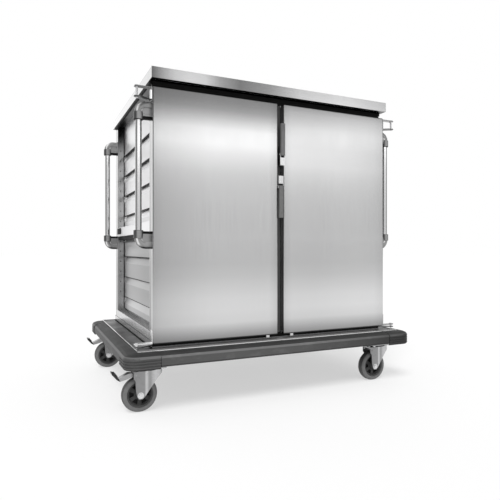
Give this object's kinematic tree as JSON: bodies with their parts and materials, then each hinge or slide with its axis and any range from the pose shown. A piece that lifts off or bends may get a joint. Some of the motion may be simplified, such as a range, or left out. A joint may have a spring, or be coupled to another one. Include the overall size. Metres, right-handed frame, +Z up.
{
  "type": "food service trolley",
  "caption": "Steel tray trolley: closed two-door cabinet with pressed runners, corner hand rails, bumpered deck and swivel castors.",
  "frame": {"origin": "on the floor, below the middle of the deck and midway between the four castor swivels", "axes": "+Z up, +X to the right along the door front, +Y from the doors to the back"},
  "size_m": [1.611, 1.182, 1.55],
  "materials": {
    "body_steel": "fine satin, brushed along the sheet",
    "door_steel": "fine satin, brushed upright",
    "deck_coating": "dark grey satin coat",
    "steel_polished": "ground and polished",
    "steel_fittings": "satin fittings",
    "zinc_plated": "zinc plated pressed steel",
    "bumper_plastic": "grey moulded plastic, fine grain",
    "elbow_plastic": "grey moulded plastic",
    "black_plastic": "black moulded plastic",
    "black_rubber": "black rubber",
    "hub_plastic": "black moulded plastic",
    "tyre_rubber": "grey non-marking rubber"
  },
  "bodies": {
    "trolley": {"base_frame": "body_steel", "bumper_corners": "bumper_plastic", "bumper_rails": "bumper_plastic", "castor_bolts": "zinc_plated", "castor_plates": "zinc_plated", "ceiling_panel": "body_steel", "centre_post": "body_steel", "chassis_frame": "body_steel", "corner_posts": "body_steel", "deck_plate": "deck_coating", "deck_trim": "steel_polished", "door_rests": "steel_fittings", "floor_panel": "body_steel", "front_rails": "body_steel", "handle_elbows": "elbow_plastic", "handle_tubes": "steel_polished", "hinge_brackets": "steel_fittings", "hinge_pins": "steel_polished", "partition_left": "body_steel", "partition_right": "body_steel", "rear_wall": "body_steel", "roof_panel": "body_steel", "side_bars": "body_steel", "side_buffers": "black_rubber", "side_sills": "body_steel", "side_wall_left": "body_steel", "side_wall_right": "body_steel", "strikers": "steel_fittings"},
    "door_left": {"door_skin_left": "door_steel", "door_panel_left": "body_steel", "door_seal_left": "black_rubber", "hinge_arms_left": "steel_fittings", "latch_housing_left": "steel_fittings"},
    "door_right": {"door_skin_right": "door_steel", "door_panel_right": "body_steel", "door_seal_right": "black_rubber", "hinge_arms_right": "steel_fittings", "latch_housing_right": "steel_fittings"},
    "latch_left": {"latch_lever_left": "elbow_plastic"},
    "latch_right": {"latch_lever_right": "elbow_plastic"},
    "castor_front_left": {"castor_fork_front_left": "zinc_plated", "axle_bolt_front_left": "zinc_plated"},
    "wheel_front_left": {"wheel_hub_front_left": "hub_plastic", "tyre_front_left": "tyre_rubber"},
    "castor_front_right": {"castor_fork_front_right": "zinc_plated", "axle_bolt_front_right": "zinc_plated"},
    "wheel_front_right": {"wheel_hub_front_right": "hub_plastic", "tyre_front_right": "tyre_rubber"},
    "brake_front": {"brake_pedal_front": "zinc_plated", "pedal_toe_front": "black_plastic"},
    "castor_rear_left": {"castor_fork_rear_left": "zinc_plated", "axle_bolt_rear_left": "zinc_plated"},
    "wheel_rear_left": {"wheel_hub_rear_left": "hub_plastic", "tyre_rear_left": "tyre_rubber"},
    "castor_rear_right": {"castor_fork_rear_right": "zinc_plated", "axle_bolt_rear_right": "zinc_plated"},
    "wheel_rear_right": {"wheel_hub_rear_right": "hub_plastic", "tyre_rear_right": "tyre_rubber"},
    "brake_rear": {"brake_pedal_rear": "zinc_plated", "pedal_toe_rear": "black_plastic"}
  },
  "joints": [
    {"name": "door_left_swing", "type": "hinge", "parent": "trolley", "child": "door_left", "pos_m": [-0.718, -0.496, 0.886], "axis": [0, 0, -1], "range_deg": [0, 270]},
    {"name": "door_right_swing", "type": "hinge", "parent": "trolley", "child": "door_right", "pos_m": [0.718, -0.496, 0.886], "axis": [0, 0, 1], "range_deg": [0, 270]},
    {"name": "latch_right_lift", "type": "hinge", "parent": "door_right", "child": "latch_right", "pos_m": [0.00475, -0.517, 1.211], "axis": [1, 0, 0], "range_deg": [0, 30]},
    {"name": "latch_left_lift", "type": "hinge", "parent": "door_left", "child": "latch_left", "pos_m": [-0.00475, -0.517, 1.046], "axis": [-1, 0, 0], "range_deg": [0, 30]},
    {"name": "castor_front_left_swivel", "type": "hinge", "parent": "trolley", "child": "castor_front_left", "pos_m": [-0.653, -0.462, 0.187], "axis": [0, 0, 1], "continuous": true},
    {"name": "wheel_front_left_roll", "type": "hinge", "parent": "castor_front_left", "child": "wheel_front_left", "pos_m": [-0.7, -0.462, 0.08], "axis": [0, 1, 0], "continuous": true},
    {"name": "castor_front_right_swivel", "type": "hinge", "parent": "trolley", "child": "castor_front_right", "pos_m": [0.653, -0.462, 0.187], "axis": [0, 0, 1], "continuous": true},
    {"name": "wheel_front_right_roll", "type": "hinge", "parent": "castor_front_right", "child": "wheel_front_right", "pos_m": [0.606, -0.462, 0.08], "axis": [0, 1, 0], "continuous": true},
    {"name": "brake_front_press", "type": "hinge", "parent": "castor_front_left", "child": "brake_front", "pos_m": [-0.721, -0.462, 0.171], "axis": [0, -1, 0], "range_deg": [0, 12]},
    {"name": "castor_rear_left_swivel", "type": "hinge", "parent": "trolley", "child": "castor_rear_left", "pos_m": [-0.653, 0.462, 0.187], "axis": [0, 0, 1], "continuous": true},
    {"name": "wheel_rear_left_roll", "type": "hinge", "parent": "castor_rear_left", "child": "wheel_rear_left", "pos_m": [-0.7, 0.462, 0.08], "axis": [0, 1, 0], "continuous": true},
    {"name": "castor_rear_right_swivel", "type": "hinge", "parent": "trolley", "child": "castor_rear_right", "pos_m": [0.653, 0.462, 0.187], "axis": [0, 0, 1], "continuous": true},
    {"name": "wheel_rear_right_roll", "type": "hinge", "parent": "castor_rear_right", "child": "wheel_rear_right", "pos_m": [0.606, 0.462, 0.08], "axis": [0, 1, 0], "continuous": true},
    {"name": "brake_rear_press", "type": "hinge", "parent": "castor_rear_left", "child": "brake_rear", "pos_m": [-0.721, 0.462, 0.171], "axis": [0, -1, 0], "range_deg": [0, 12]}
  ]
}
